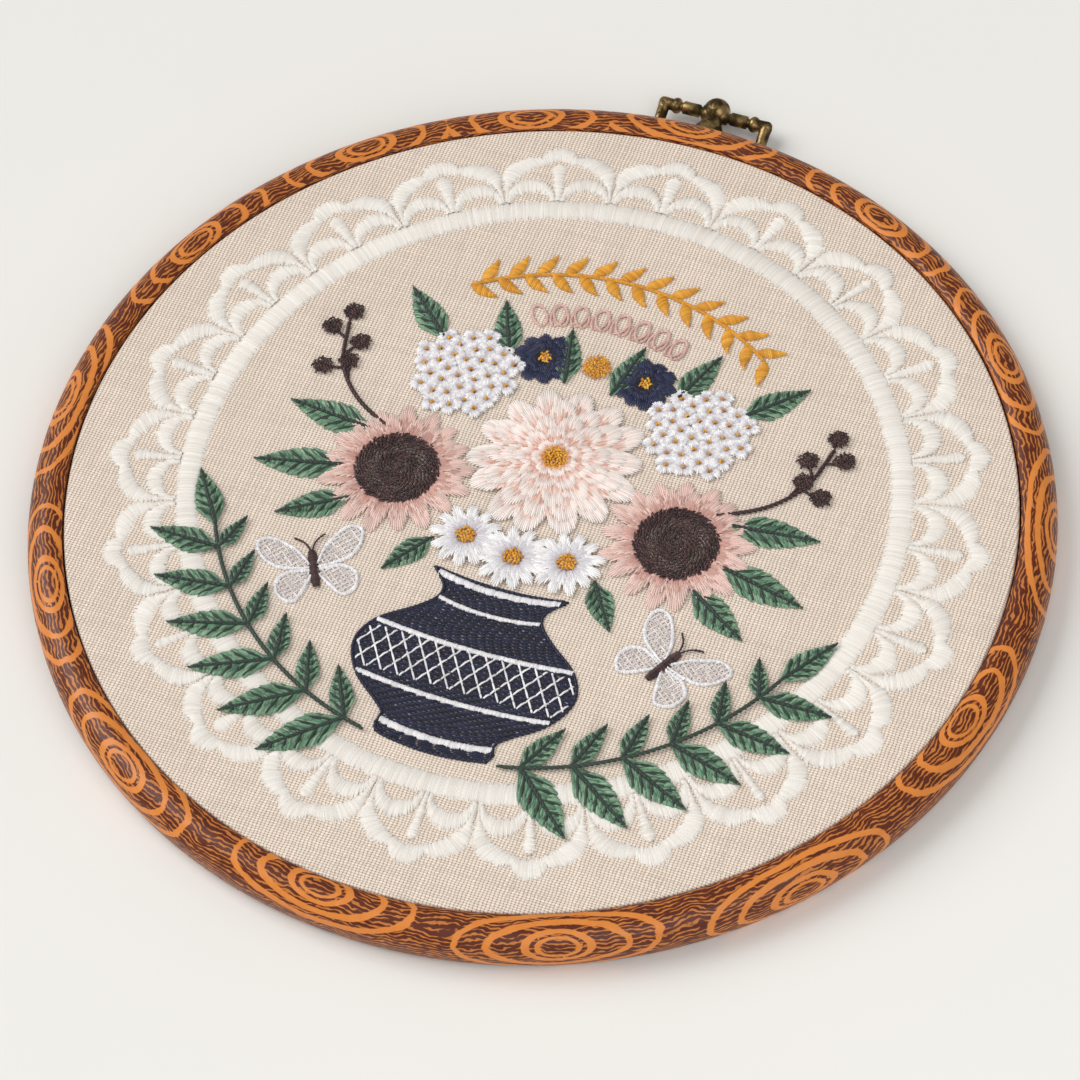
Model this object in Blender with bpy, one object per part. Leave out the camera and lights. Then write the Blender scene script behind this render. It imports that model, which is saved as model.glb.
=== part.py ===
"""Embroidered linen stretched in a round, flexible, woodgrain-printed hoop with a brass hanger.

The hoop lies on its back: its back is z = 0, its face looks up along +Z and the hanger points
along +Y. The origin is the middle of the whole outline, on the surface that the hoop lies on.
"""

import math

import bmesh
import bpy
from mathutils import Matrix, Vector

MM = 0.001

# Outer ring: a soft ring with a rounded front, a rounded outer side and a flat back.
RING_OUTER_R = 102.5 * MM
RING_INNER_R = 95.2 * MM
RING_DEPTH = 9.6 * MM
RING_CREST_R = 97.6 * MM
RING_BACK_R = 100.3 * MM
RING_FRONT_POINTS = 9
RING_SIDE_POINTS = 4
RING_SEGMENTS = 108

# Inner ring: a plain hard ring that carries the cloth.
CLEARANCE = 0.3 * MM
CLOTH_THICKNESS = 1.0 * MM
CLOTH_FACE_Z = 8.8 * MM
INNER_RING_WIDTH = 2.7 * MM
INNER_RING_EDGE = 0.5 * MM
INNER_RING_SEGMENTS = 96

# Cloth: a round sheet over the inner ring, its edge turned down between the two rings.
CLOTH_R = RING_INNER_R - CLEARANCE
CLOTH_FOLD_R = 0.7 * MM
CLOTH_HEM_Z = 1.0 * MM
STITCH_HEIGHT = 0.6 * MM
STITCH_SLOPE = 0.4 * MM

# Raised lace border: a round satin band with a row of three-lobed scallops around it. Its
# centre lies a little towards the hanger, and the stretched linen has drawn it a little uneven:
# from LACE_SLIDE_FROM on the scallops stand closer, and at LACE_SWELL_AT they reach furthest.
LACE_CENTRE = Vector((0.0, 2.2 * MM, 0.0))
LACE_TURN = math.radians(-1.5)
LACE_SLIDE = math.radians(2.5)
LACE_SLIDE_FROM = math.radians(-24)
LACE_SWELL = 0.075
LACE_SWELL_AT = math.radians(126)
BAND_INNER_R = 68.9 * MM
BAND_OUTER_R = 73.5 * MM
SCALLOPS = 22
# Where the columns of points lie, as shares of the way from a scallop's middle to its side.
SCALLOP_SHARES = (0.0, 0.17, 0.31, 0.5, 0.74, 0.92, 1.0)
# Where two scallops meet.
CUSP_R = 80.8 * MM
# Each lobe is a round: its middle's angle from the scallop's middle, its middle's radius and
# its own radius.
LOBES = (
    (0.0, 85.0 * MM, 3.8 * MM),
    (math.radians(3.7), 79.6 * MM, 6.6 * MM),
    (math.radians(-3.7), 79.6 * MM, 6.6 * MM),
)
# The bare opening inside a scallop's outline is half an ellipse that stands just off the band.
OPENING_FOOT = 0.15 * MM
OPENING_HEIGHT = 11.1 * MM
OPENING_SHARE = 0.95

# Hanger: a cast bar on two legs, with a bulb on a flared foot in its middle.
HANGER_Z = 3.6 * MM
BAR_AXIS_Y = 108.5 * MM
LEG_X = 11.3 * MM
LEG_R = 1.2 * MM
LEG_END_Y = 101.9 * MM
LEG_END_Z = 1.3 * MM
BULB_R = 2.9 * MM
BULB_Y = 109.5 * MM
FOOT_TOP_Y = 108.3 * MM
HANGER_SEGMENTS = 16
# The bar's turned shape, from its middle to its end: distance along the bar and radius.
BAR_PROFILE = (
    (0.0, 1.6),
    (2.7, 1.6),
    (2.9, 1.1),
    (3.3, 1.1),
    (3.5, 1.4),
    (7.0, 1.4),
    (7.2, 1.0),
    (7.6, 1.0),
    (7.9, 1.5),
    (8.6, 1.75),
    (9.3, 1.5),
    (9.6, 1.3),
    (11.8, 1.3),
    (12.4, 0.9),
    (12.6, 0.4),
)
# The flared foot, from top to base: distance down from FOOT_TOP_Y, half width, half depth.
FOOT_ROWS = (
    (0.0, 1.7, 1.7),
    (2.2, 2.2, 1.9),
    (4.0, 3.1, 2.2),
    (7.0, 4.0, 2.6),
)

# The whole outline runs from the ring's near edge to the top of the bulb.
HANGER_TOP_Y = BULB_Y + BULB_R
HOOP_CENTRE = Vector((0.0, (RING_OUTER_R - HANGER_TOP_Y) / 2, 0.0))

# Colours are linear.
WOODGRAIN = (0.30, 0.10, 0.035)
RING_BROWN = (0.20, 0.09, 0.045)
LINEN = (0.67, 0.58, 0.47)
DARK_BRASS = (0.15, 0.09, 0.05)


def clear_scene():
    for obj in list(bpy.data.objects):
        bpy.data.objects.remove(obj, do_unlink=True)


def material(name, colour, roughness, metallic=0.0):
    mat = bpy.data.materials.new(name)
    mat.use_nodes = True
    shader = mat.node_tree.nodes["Principled BSDF"]
    shader.inputs["Base Color"].default_value = (*colour, 1.0)
    shader.inputs["Roughness"].default_value = roughness
    shader.inputs["Metallic"].default_value = metallic
    mat.diffuse_color = (*colour, 1.0)
    return mat


def add_object(name, bm, mat, sharp_angle=50):
    """Turns a bmesh into an object on the hoop's centre, its faces outward and shaded smooth."""
    bmesh.ops.recalc_face_normals(bm, faces=bm.faces)
    mesh = bpy.data.meshes.new(name)
    bm.to_mesh(mesh)
    bm.free()
    mesh.shade_smooth()
    mesh.set_sharp_from_angle(angle=math.radians(sharp_angle))
    mesh.materials.append(mat)
    obj = bpy.data.objects.new(name, mesh)
    obj.location = HOOP_CENTRE
    bpy.context.collection.objects.link(obj)
    return obj


def polar(radius, angle):
    """The point at this radius, its angle measured from the hanger's side."""
    return Vector((radius * math.sin(angle), radius * math.cos(angle), 0.0))


def revolve(profile, segments):
    """A closed ring: a closed outline of (radius, z) points turned about Z."""
    bm = bmesh.new()
    verts = [bm.verts.new((radius, 0.0, z)) for radius, z in profile]
    edges = [bm.edges.new((verts[i - 1], verts[i])) for i in range(len(verts))]
    bmesh.ops.spin(
        bm,
        geom=verts + edges,
        cent=(0, 0, 0),
        axis=(0, 0, 1),
        angle=2 * math.pi,
        steps=segments,
        use_merge=True,
    )
    return bm


def arc(centre, radii, start, end, count):
    """Points (radius, z) on an ellipse, from one angle to another, both in degrees."""
    points = []
    for i in range(count):
        angle = math.radians(start + (end - start) * i / (count - 1))
        points.append((centre[0] + radii[0] * math.cos(angle), centre[1] + radii[1] * math.sin(angle)))
    return points


def outer_ring_profile():
    """From the inner lip over the crest and down the outer side to the flat back."""
    half_depth = RING_DEPTH / 2
    half_width = RING_OUTER_R - RING_CREST_R
    lip = math.degrees(math.acos((RING_INNER_R - RING_CREST_R) / half_width))
    front = arc((RING_CREST_R, half_depth), (half_width, half_depth), lip, 0, RING_FRONT_POINTS)
    side_width = RING_OUTER_R - RING_BACK_R
    side = arc((RING_BACK_R, half_depth), (side_width, half_depth), 0, -90, RING_SIDE_POINTS)
    return front + side[1:] + [(RING_INNER_R, 0.0)]


def inner_ring_profile():
    outer = CLOTH_R - CLOTH_THICKNESS - CLEARANCE
    inner = outer - INNER_RING_WIDTH
    top = CLOTH_FACE_Z - CLOTH_THICKNESS - CLEARANCE
    edge = INNER_RING_EDGE
    return [
        (inner, edge),
        (inner, top - edge),
        (inner + edge, top),
        (outer - edge, top),
        (outer, top - edge),
        (outer, edge),
        (outer - edge, 0.0),
        (inner + edge, 0.0),
    ]


def scallop_radius(angle):
    """How far the scallops reach at this angle from a scallop's middle."""
    reach = CUSP_R
    for lobe_angle, lobe_centre, lobe_radius in LOBES:
        across = lobe_centre * math.sin(angle - lobe_angle)
        if abs(across) < lobe_radius:
            along = lobe_centre * math.cos(angle - lobe_angle)
            reach = max(reach, along + math.sqrt(lobe_radius**2 - across**2))
    return reach


def opening_radius(angle):
    """How far the bare opening inside a scallop's outline reaches at this angle."""
    share = angle * SCALLOPS / math.pi / OPENING_SHARE
    return BAND_OUTER_R + OPENING_FOOT + OPENING_HEIGHT * math.sqrt(max(0.0, 1 - share**2))


def lace_point(radius, angle, z):
    """The point of the drawn lace that lies at this radius and angle in an even one."""
    swell = LACE_SWELL * math.cos(angle + LACE_TURN - LACE_SWELL_AT) * max(0.0, radius - BAND_OUTER_R)
    slide = LACE_SLIDE * math.sin(angle + LACE_TURN - LACE_SLIDE_FROM)
    drawn = polar(radius + swell, angle + LACE_TURN + slide)
    return drawn + LACE_CENTRE + Vector((0.0, 0.0, z))


def lace_angles():
    """Each column's angle around the lace and, with it, its angle from its scallop's middle."""
    half = math.pi / SCALLOPS
    shares = [-share for share in reversed(SCALLOP_SHARES[1:])] + list(SCALLOP_SHARES[:-1])
    return [
        (2 * scallop * half + share * half, share * half)
        for scallop in range(SCALLOPS)
        for share in shares
    ]


def cloth_rows():
    """Closed rows of points from the face's middle, over the hem and back under the cloth."""
    angles = lace_angles()
    face = CLOTH_FACE_Z
    raised = face + STITCH_HEIGHT
    slope = STITCH_SLOPE

    def plain_row(radius, z):
        return [polar(radius, angle + LACE_TURN) + Vector((0.0, 0.0, z)) for angle, _ in angles]

    def band_row(radius, z):
        return [lace_point(radius, angle, z) for angle, _ in angles]

    def opening_row(outward, z):
        return [lace_point(opening_radius(local) + outward, angle, z) for angle, local in angles]

    def scallop_row(inward, z):
        return [lace_point(scallop_radius(local) - inward, angle, z) for angle, local in angles]

    under_r = CLOTH_R - CLOTH_THICKNESS
    under_z = face - CLOTH_THICKNESS
    return [
        band_row(BAND_INNER_R, face),
        band_row(BAND_INNER_R + slope, raised),
        band_row(BAND_OUTER_R - slope, raised),
        band_row(BAND_OUTER_R, face),
        opening_row(0.0, face),
        opening_row(slope, raised),
        scallop_row(slope, raised),
        scallop_row(0.0, face),
        plain_row(CLOTH_R - CLOTH_FOLD_R, face),
        plain_row(CLOTH_R - CLOTH_FOLD_R / 4, face - CLOTH_FOLD_R / 4),
        plain_row(CLOTH_R, face - CLOTH_FOLD_R),
        plain_row(CLOTH_R, CLOTH_HEM_Z),
        plain_row(under_r, CLOTH_HEM_Z),
        plain_row(under_r, under_z - CLEARANCE),
        plain_row(under_r - CLEARANCE, under_z),
    ]


def cloth_mesh():
    bm = bmesh.new()
    rows = [[bm.verts.new(point) for point in row] for row in cloth_rows()]
    count = len(rows[0])
    for row, following in zip(rows, rows[1:]):
        for i in range(count):
            bm.faces.new((row[i - 1], row[i], following[i], following[i - 1]))
    face_middle = bm.verts.new((0.0, 0.0, CLOTH_FACE_Z))
    under_middle = bm.verts.new((0.0, 0.0, CLOTH_FACE_Z - CLOTH_THICKNESS))
    for i in range(count):
        bm.faces.new((face_middle, rows[0][i - 1], rows[0][i]))
        bm.faces.new((under_middle, rows[-1][i], rows[-1][i - 1]))
    return bm


def bar_mesh():
    """The turned bar: closed rows of points about an axis along X."""
    half = [(x * MM, radius * MM) for x, radius in BAR_PROFILE]
    profile = [(-x, radius) for x, radius in reversed(half[1:])] + half
    bm = bmesh.new()
    rows = []
    for x, radius in profile:
        row = []
        for i in range(HANGER_SEGMENTS):
            angle = 2 * math.pi * i / HANGER_SEGMENTS
            place = (x, BAR_AXIS_Y + radius * math.cos(angle), HANGER_Z + radius * math.sin(angle))
            row.append(bm.verts.new(place))
        rows.append(row)
    for row, following in zip(rows, rows[1:]):
        for i in range(HANGER_SEGMENTS):
            bm.faces.new((row[i - 1], row[i], following[i], following[i - 1]))
    bm.faces.new(rows[0])
    bm.faces.new(rows[-1])
    return bm


def leg_mesh(side):
    """A round leg from the bar's end down to the ring's side."""
    top = Vector((side * LEG_X, BAR_AXIS_Y, HANGER_Z))
    end = Vector((side * LEG_X, LEG_END_Y, LEG_END_Z))
    way = end - top
    bm = bmesh.new()
    bmesh.ops.create_cone(
        bm,
        cap_ends=True,
        segments=HANGER_SEGMENTS,
        radius1=LEG_R,
        radius2=LEG_R,
        depth=way.length,
        matrix=Matrix.Translation((top + end) / 2) @ way.to_track_quat("Z", "Y").to_matrix().to_4x4(),
    )
    return bm


def bulb_mesh():
    bm = bmesh.new()
    bmesh.ops.create_uvsphere(
        bm,
        u_segments=HANGER_SEGMENTS,
        v_segments=HANGER_SEGMENTS // 2 + 2,
        radius=BULB_R,
        matrix=Matrix.Translation((0.0, BULB_Y, HANGER_Z)) @ Matrix.Rotation(math.pi / 2, 4, "X"),
    )
    return bm


def foot_mesh():
    """The flared foot: elliptic rows, wider towards the ring."""
    bm = bmesh.new()
    rows = []
    for down, half_width, half_depth in FOOT_ROWS:
        row = []
        for i in range(HANGER_SEGMENTS):
            angle = 2 * math.pi * (i + 0.5) / HANGER_SEGMENTS
            x = half_width * MM * math.cos(angle)
            z = HANGER_Z + half_depth * MM * math.sin(angle)
            row.append(bm.verts.new((x, FOOT_TOP_Y - down * MM, z)))
        rows.append(row)
    for row, following in zip(rows, rows[1:]):
        for i in range(HANGER_SEGMENTS):
            bm.faces.new((row[i - 1], row[i], following[i], following[i - 1]))
    bm.faces.new(rows[0])
    bm.faces.new(rows[-1])
    return bm


def boolean(obj, other, operation):
    """Joins or cuts obj with other, which is then only a guide."""
    modifier = obj.modifiers.new(other.name, "BOOLEAN")
    modifier.operation = operation
    modifier.solver = "EXACT"
    modifier.object = other
    other.hide_render = True
    other.display_type = "WIRE"


def build_hanger(mat):
    hanger = add_object("hanger", bar_mesh(), mat)
    boolean(hanger, add_object("guide_bulb", bulb_mesh(), mat), "UNION")
    boolean(hanger, add_object("guide_foot", foot_mesh(), mat), "UNION")
    boolean(hanger, add_object("guide_leg_left", leg_mesh(-1), mat), "UNION")
    boolean(hanger, add_object("guide_leg_right", leg_mesh(1), mat), "UNION")
    seat = bmesh.new()
    bmesh.ops.create_cone(
        seat,
        cap_ends=True,
        segments=2 * RING_SEGMENTS,
        radius1=RING_OUTER_R + CLEARANCE,
        radius2=RING_OUTER_R + CLEARANCE,
        depth=4 * RING_DEPTH,
    )
    boolean(hanger, add_object("guide_seat", seat, mat), "DIFFERENCE")


def build():
    clear_scene()
    woodgrain = material("woodgrain", WOODGRAIN, 0.25)
    ring_brown = material("ring_brown", RING_BROWN, 0.5)
    linen = material("linen", LINEN, 0.9)
    dark_brass = material("dark_brass", DARK_BRASS, 0.4, 1.0)
    add_object("outer_ring", revolve(outer_ring_profile(), RING_SEGMENTS), woodgrain)
    add_object("inner_ring", revolve(inner_ring_profile(), INNER_RING_SEGMENTS), ring_brown)
    add_object("cloth", cloth_mesh(), linen)
    build_hanger(dark_brass)


build()
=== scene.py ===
from math import acos, cos, exp, inf, pi, prod, radians, sin

import bmesh
import bpy
import numpy as np
from mathutils import Matrix, Vector
from numpy.linalg import norm


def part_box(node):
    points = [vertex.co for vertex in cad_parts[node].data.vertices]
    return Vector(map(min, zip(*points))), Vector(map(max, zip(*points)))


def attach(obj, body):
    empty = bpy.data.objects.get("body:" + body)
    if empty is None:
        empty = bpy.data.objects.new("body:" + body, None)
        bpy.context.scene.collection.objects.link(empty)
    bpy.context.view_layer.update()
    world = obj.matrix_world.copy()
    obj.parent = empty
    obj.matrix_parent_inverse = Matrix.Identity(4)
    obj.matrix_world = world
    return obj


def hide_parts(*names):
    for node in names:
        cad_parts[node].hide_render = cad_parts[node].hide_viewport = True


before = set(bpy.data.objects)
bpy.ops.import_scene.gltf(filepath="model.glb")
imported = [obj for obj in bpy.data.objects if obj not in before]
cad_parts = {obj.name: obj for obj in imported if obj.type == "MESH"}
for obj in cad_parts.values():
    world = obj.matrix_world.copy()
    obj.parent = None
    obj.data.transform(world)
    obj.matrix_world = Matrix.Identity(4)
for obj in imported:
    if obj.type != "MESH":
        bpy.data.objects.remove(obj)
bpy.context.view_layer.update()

# Lengths below are in millimetres unless a name says otherwise. MM turns them into metres.
MM = 0.001

# The hoop, from the frame. The design's own plane has x to its right and y towards the hanger.
ring_low, ring_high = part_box("outer_ring")
cloth_low, cloth_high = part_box("cloth")
HOOP_CENTRE = np.array([ring_low.x + ring_high.x, ring_low.y + ring_high.y]) / 2 / MM
RING_OUTER_R = (ring_high.x - ring_low.x) / 2 / MM
RING_DEPTH = ring_high.z / MM
CLOTH_R = (cloth_high.x - cloth_low.x) / 2 / MM
HEM_Z = cloth_low.z / MM
RELIEF_HEIGHT = 0.6
FACE_Z = cloth_high.z / MM - RELIEF_HEIGHT

# The outer ring's section, as its solid has it.
RING_INNER_R = 95.2
RING_CREST_R = 97.6
RING_BACK_R = 100.3

# The lace border, as the cloth's solid has it. Its middle, and the whole design's, lies a little
# towards the hanger. The stretched linen has drawn it uneven: from LACE_SLIDE_FROM on, the
# scallops stand closer, and at LACE_SWELL_AT they reach furthest.
LACE_CENTRE = (0.0, 2.2)
LACE_TURN = radians(-1.5)
LACE_SLIDE = radians(2.5)
LACE_SLIDE_FROM = radians(-24)
LACE_SWELL = 0.075
LACE_SWELL_AT = radians(126)
BAND_INNER_R = 68.9
BAND_OUTER_R = 73.5
SCALLOPS = 22
SCALLOP_HALF = pi / SCALLOPS
CUSP_R = 80.8
# Each lobe is a round: its angle from the scallop's middle, its middle's radius, its radius.
LOBES = ((0.0, 85.0, 3.8), (radians(3.7), 79.6, 6.6), (radians(-3.7), 79.6, 6.6))

# Threads: how far apart they lie, how wide they are and how high they arch.
PITCH = 0.37
THREAD_WIDTH = 0.44
THREAD_RISE = 0.3
LACE_PITCH = 0.25
LACE_WIDTH = 0.33
LACE_RISE = 0.38
# A thread has points at these shares of its length, on a half round of so many points. Its ends
# dip into the cloth and are narrower than its middle. THREAD_ARCH is how square its arch is.
THREAD_STATIONS = (0, 0.12, 0.5, 0.88, 1)
THREAD_SIDES = 4
THREAD_DIP = 0.12
THREAD_END_WIDTH = 0.62
THREAD_ARCH = 2.4
LINEN_THICKNESS = 0.6

rng = np.random.default_rng(11)
uniform = rng.uniform


# --- materials


def srgb(*seen):
    """A colour as seen, three numbers from 0 to 255, as the linear RGBA that shaders take."""
    shares = [value / 255 for value in seen]
    return (*[((c + 0.055) / 1.055) ** 2.4 if c > 0.04 else c / 12.92 for c in shares], 1.0)


class Paint:
    """Short calls that build the nodes of one material. Colours are given as seen, 0 to 255."""

    def __init__(self, name, roughness=0.5, **inputs):
        self.material = bpy.data.materials.new(name)
        self.material.use_nodes = True
        self.tree = self.material.node_tree
        self.shader = self.tree.nodes["Principled BSDF"]
        self.put("Roughness", roughness)
        for key, value in inputs.items():
            self.put(key.replace("_", " "), value)

    def link(self, socket, value):
        if isinstance(value, bpy.types.NodeSocket):
            self.tree.links.new(value, socket)
        else:
            socket.default_value = srgb(*value) if isinstance(value, tuple) else value

    def put(self, name, value):
        self.link(self.shader.inputs[name], value)

    def node(self, kind, inputs=(), **settings):
        made = self.tree.nodes.new(f"ShaderNode{kind}")
        for key, value in settings.items():
            setattr(made, key, value)
        for key, value in dict(inputs).items():
            self.link(made.inputs[key], value)
        return made

    def math(self, operation, *values):
        return self.node("Math", enumerate(values), operation=operation).outputs[0]

    def add(self, a, b):
        return self.math("ADD", a, b)

    def times(self, a, b):
        return self.math("MULTIPLY", a, b)

    def rest(self, share):
        """What a share leaves of 1."""
        return self.math("SUBTRACT", 1.0, share)

    def about(self, noise, reach):
        """Noise from 0 to 1, as a number that many times larger and even about 0."""
        return self.times(self.add(noise, -0.5), reach)

    def vector(self, x, y, z=0.0):
        return self.node("CombineXYZ", enumerate((x, y, z))).outputs[0]

    def split(self, vector):
        return self.node("SeparateXYZ", {0: vector}).outputs

    def noise(self, vector, scale, detail=2.0):
        inputs = {"Vector": vector, "Scale": scale, "Detail": detail}
        return self.node("TexNoise", inputs).outputs["Fac"]

    def spread(self, value, low, high, out_low=0.0, out_high=1.0, smooth=True):
        """value from low to high, as a number from out_low to out_high."""
        made = self.node("MapRange", enumerate((value, low, high, out_low, out_high)))
        made.interpolation_type = "SMOOTHSTEP" if smooth else "LINEAR"
        return made.outputs[0]

    def mix(self, factor, a, b):
        return self.node("Mix", {0: factor, 6: a, 7: b}, data_type="RGBA").outputs[2]

    def ramp(self, factor, stops):
        made = self.node("ValToRGB", {0: factor})
        while len(made.color_ramp.elements) < len(stops):
            made.color_ramp.elements.new(1.0)
        for element, (place, colour) in zip(made.color_ramp.elements, stops):
            element.position = place
            element.color = srgb(*colour)
        return made.outputs[0]

    def brighten(self, colour, factor):
        """colour times a number."""
        inputs = {0: colour, "Scale": factor}
        return self.node("VectorMath", inputs, operation="SCALE").outputs[0]

    def place(self):
        """The point on the surface, in metres."""
        return self.node("TexCoord").outputs["Object"]

    def bump(self, height, distance_mm, strength):
        inputs = {"Height": height, "Distance": distance_mm * MM, "Strength": strength}
        self.put("Normal", self.node("Bump", inputs).outputs[0])


# How far apart the linen's threads lie, to the design's right and towards the hanger, and how far
# they wander to the side, as a share of that.
LINEN_PITCH = (0.72, 0.53)
LINEN_WANDER = 0.9
# A thread's darkest and lightest parts, as shares of its colour.
SLUB_TONES = (0.84, 1.13)
# From the pinholes between the threads to the threads' backs: painted shade up to painted light.
LINEN_PAINTED_SHADE_COLOURS = (
    (0, (80, 54, 38)),
    (0.1, (131, 102, 81)),
    (0.24, (209, 189, 171)),
    (0.5, (234, 216, 199)),
    (1, (250, 241, 230)),
)


def linen_material():
    """Plain weave: warp and weft threads that pass over each other, with slubs, painted shade in the
    pinholes between them and painted light on the threads' backs.
    """
    paint = Paint("linen", roughness=0.85, Sheen_Weight=0.1)
    add, times, noise = paint.add, paint.times, paint.noise
    place = paint.place()
    x, y, _ = paint.split(place)
    wander_x = paint.about(noise(place, 340.0), LINEN_WANDER)
    wander_y = paint.about(noise(paint.vector(y, x), 300.0), LINEN_WANDER)
    across = add(times(x, 1 / (LINEN_PITCH[0] * MM)), wander_x)
    along = add(times(y, 1 / (LINEN_PITCH[1] * MM)), wander_y)
    wave_x, wave_y = (paint.math("SINE", times(at, pi)) for at in (across, along))
    warp, weft = (paint.math("ABSOLUTE", wave) for wave in (wave_x, wave_y))
    warp_over = paint.spread(times(wave_x, wave_y), -0.25, 0.25)
    weft_over = paint.rest(warp_over)
    warp_height = times(warp, add(times(weft, 0.5), 0.5))
    weft_height = times(weft, add(times(warp, 0.5), 0.5))
    height = add(times(warp_height, warp_over), times(weft_height, weft_over))
    # Slubs: each thread is a little lighter or darker along its length.
    warp_slub = noise(paint.vector(paint.math("FLOOR", across), times(along, 0.02)), 1.7)
    weft_slub = noise(paint.vector(times(across, 0.02), paint.math("FLOOR", along)), 1.7)
    slub = add(times(warp_over, warp_slub), times(weft_over, weft_slub))
    tone = paint.spread(slub, 0.25, 0.75, *SLUB_TONES, smooth=False)
    # The weave's height picks the colour: painted shade in the pinholes, painted light on the backs.
    paint.put("Base Color", paint.brighten(paint.ramp(height, LINEN_PAINTED_SHADE_COLOURS), tone))
    paint.bump(height, 0.05, 0.8)
    return paint.material


# A thread's twist: its turns in each millimetre, and across the thread.
TWIST = (1.6, 0.9)
TWIST_DEPTH = 0.02


def thread_material(name, stops, roughness=0.4, spread=0.14, sheen=0.25, speck=None):
    """Twisted embroidery thread. Each point has two attributes: "thread", which holds the distance
    along its stitch, the share across it and the stitch's tone, and "shade", which picks a colour
    from the stops. A speck's colour shows where a few stitches begin."""
    paint = Paint(name, roughness=roughness, Sheen_Weight=sheen, Specular_IOR_Level=0.45)
    thread, shade = (
        paint.node("Attribute", attribute_name=key).outputs for key in ("thread", "shade")
    )
    along, across, tone = paint.split(thread["Vector"])
    colour = paint.ramp(shade["Fac"], stops)
    if speck:
        begins = paint.spread(along, 0.25, 0.6, 1.0, 0.0)
        colour = paint.mix(paint.times(begins, paint.spread(tone, 0.93, 0.95)), colour, speck)
    factor = paint.spread(tone, 0.0, 1.0, 1.0 - spread, 1.0 + spread, smooth=False)
    paint.put("Base Color", paint.brighten(colour, factor))
    turn = paint.add(paint.times(along, TWIST[0]), paint.times(across, TWIST[1]))
    paint.bump(paint.math("SINE", paint.times(turn, 2 * pi)), TWIST_DEPTH, 0.6)
    return paint.material


# The print's eyes: where each lies around the ring, in degrees clockwise from the hanger, and how
# far across the print from the ring's inner lip, as a share of its width.
EYES = (
    (26, 0.21), (51.7, 0.27), (75.5, 0.52), (104.2, 0.18), (131, 0.58), (158.2, 0.45),
    (185, 0.15), (213.2, 0.345), (239.5, 0.23), (266.2, 0.38), (293.2, 0.17), (318.2, 0.2),
    (339, 0.2), (358.5, 0.3),
)
# Half the length and half the height of an eye's first oval, and how far in its bare line reaches
# along the ring. Between EYE_DASH a dark broken line runs in it.
EYE_SIZE = (6.9, 3.4)
EYE_CORE = 3.3
EYE_DASH = (4.4, 5.3)
# The ovals around it: half the length, half the height and half the line's width.
EYE_OVALS = ((12.8, 4.8, 0.62), (18.6, 6.8, 0.6))
# The noise that moves the ovals and bends the strokes between them: its changes in a millimetre
# along the ring and across it, and its reach, in millimetres and in strokes.
OVAL_WOBBLES = ((0.11, 0.22, 3), (0.8, 1.2, 0.8))
STROKE_BENDS = ((0.13, 0.12, 5), (0.55, 0.9, 1.3))
STROKE_PITCH = 0.84
# How strongly a stroke's width changes along it, until it breaks.
STROKE_BREAKS = 3.4
INKS = ((74, 24, 9), (106, 44, 18))
ORANGES = ((232, 146, 68), (216, 124, 48))
# Between the strokes the orange is darker than in the bare ovals.
DULL_ORANGE = 0.74


def woodgrain_material():
    """Printed woodgrain: orange covered in dark strokes along the ring, with bare ovals.

    The ring has two UV maps: "Print" holds the distance along the ring and across its surface in
    millimetres, and "Eye" the same from the nearest eye's middle."""
    paint = Paint("woodgrain", 0.4, Coat_Weight=0.05, Coat_Roughness=0.25, Specular_IOR_Level=0.35)
    add, times, noise, rest = paint.add, paint.times, paint.noise, paint.rest
    place, from_eye = (
        paint.node("UVMap", uv_map=name).outputs[0] for name in ("Print", "Eye")
    )
    u, v, _ = paint.split(place)
    du, dv, _ = paint.split(from_eye)
    level = paint.vector(u, v)

    def grain(along, across):
        return noise(paint.vector(times(u, along), times(v, across)), 1.0, 1.0)

    def length(x, y):
        return paint.math("SQRT", add(times(x, x), times(y, y)))

    def step(value, at, soft=0.12):
        return paint.spread(value, at - soft, at + soft)

    def within(value, low, high, soft=0.12):
        return times(step(value, low, soft), rest(step(value, high)))

    def oval(half_length, half_height, half_width):
        flat = half_length / half_height
        reach = length(du, times(dv, flat))
        steep = paint.math("DIVIDE", length(du, times(dv, flat * flat)), reach)
        off = paint.math("ABSOLUTE", add(add(reach, wobble), -half_length))
        return rest(step(paint.math("DIVIDE", off, steep), half_width))

    wobble = add(*(paint.about(grain(*scale), reach) for *scale, reach in OVAL_WOBBLES))
    first = length(du, times(dv, EYE_SIZE[0] / EYE_SIZE[1]))
    first = add(first, times(wobble, 0.6))
    broken = paint.spread(noise(level, 0.9), 0.34, 0.38)
    bare = within(first, EYE_CORE, EYE_SIZE[0], 0.3)
    bare = paint.math("SUBTRACT", bare, times(within(first, *EYE_DASH), broken))
    for sizes in EYE_OVALS:
        bare = paint.math("MAXIMUM", bare, oval(*sizes))
    # Strokes: dark, wavy and broken lines along the ring.
    bends = add(*(times(grain(*scale), reach) for *scale, reach in STROKE_BENDS))
    phase = add(times(v, 1 / STROKE_PITCH), bends)
    line = paint.math("SINE", times(phase, 2 * pi))
    own = times(paint.math("FLOOR", phase), 3.7)
    breaks = noise(paint.vector(times(u, 0.5), own), 1.0, 1.0)
    strokes = step(add(line, paint.about(breaks, STROKE_BREAKS)), -0.5, 0.3)
    dark = times(strokes, rest(bare))
    ink = paint.mix(noise(level, 0.35), *INKS)
    orange = paint.mix(noise(level, 0.5), *ORANGES)
    orange = paint.brighten(orange, paint.spread(bare, 0, 1, DULL_ORANGE, 1.0))
    paint.put("Base Color", paint.mix(dark, orange, ink))
    paint.bump(dark, -0.02, 0.5)
    return paint.material


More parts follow.
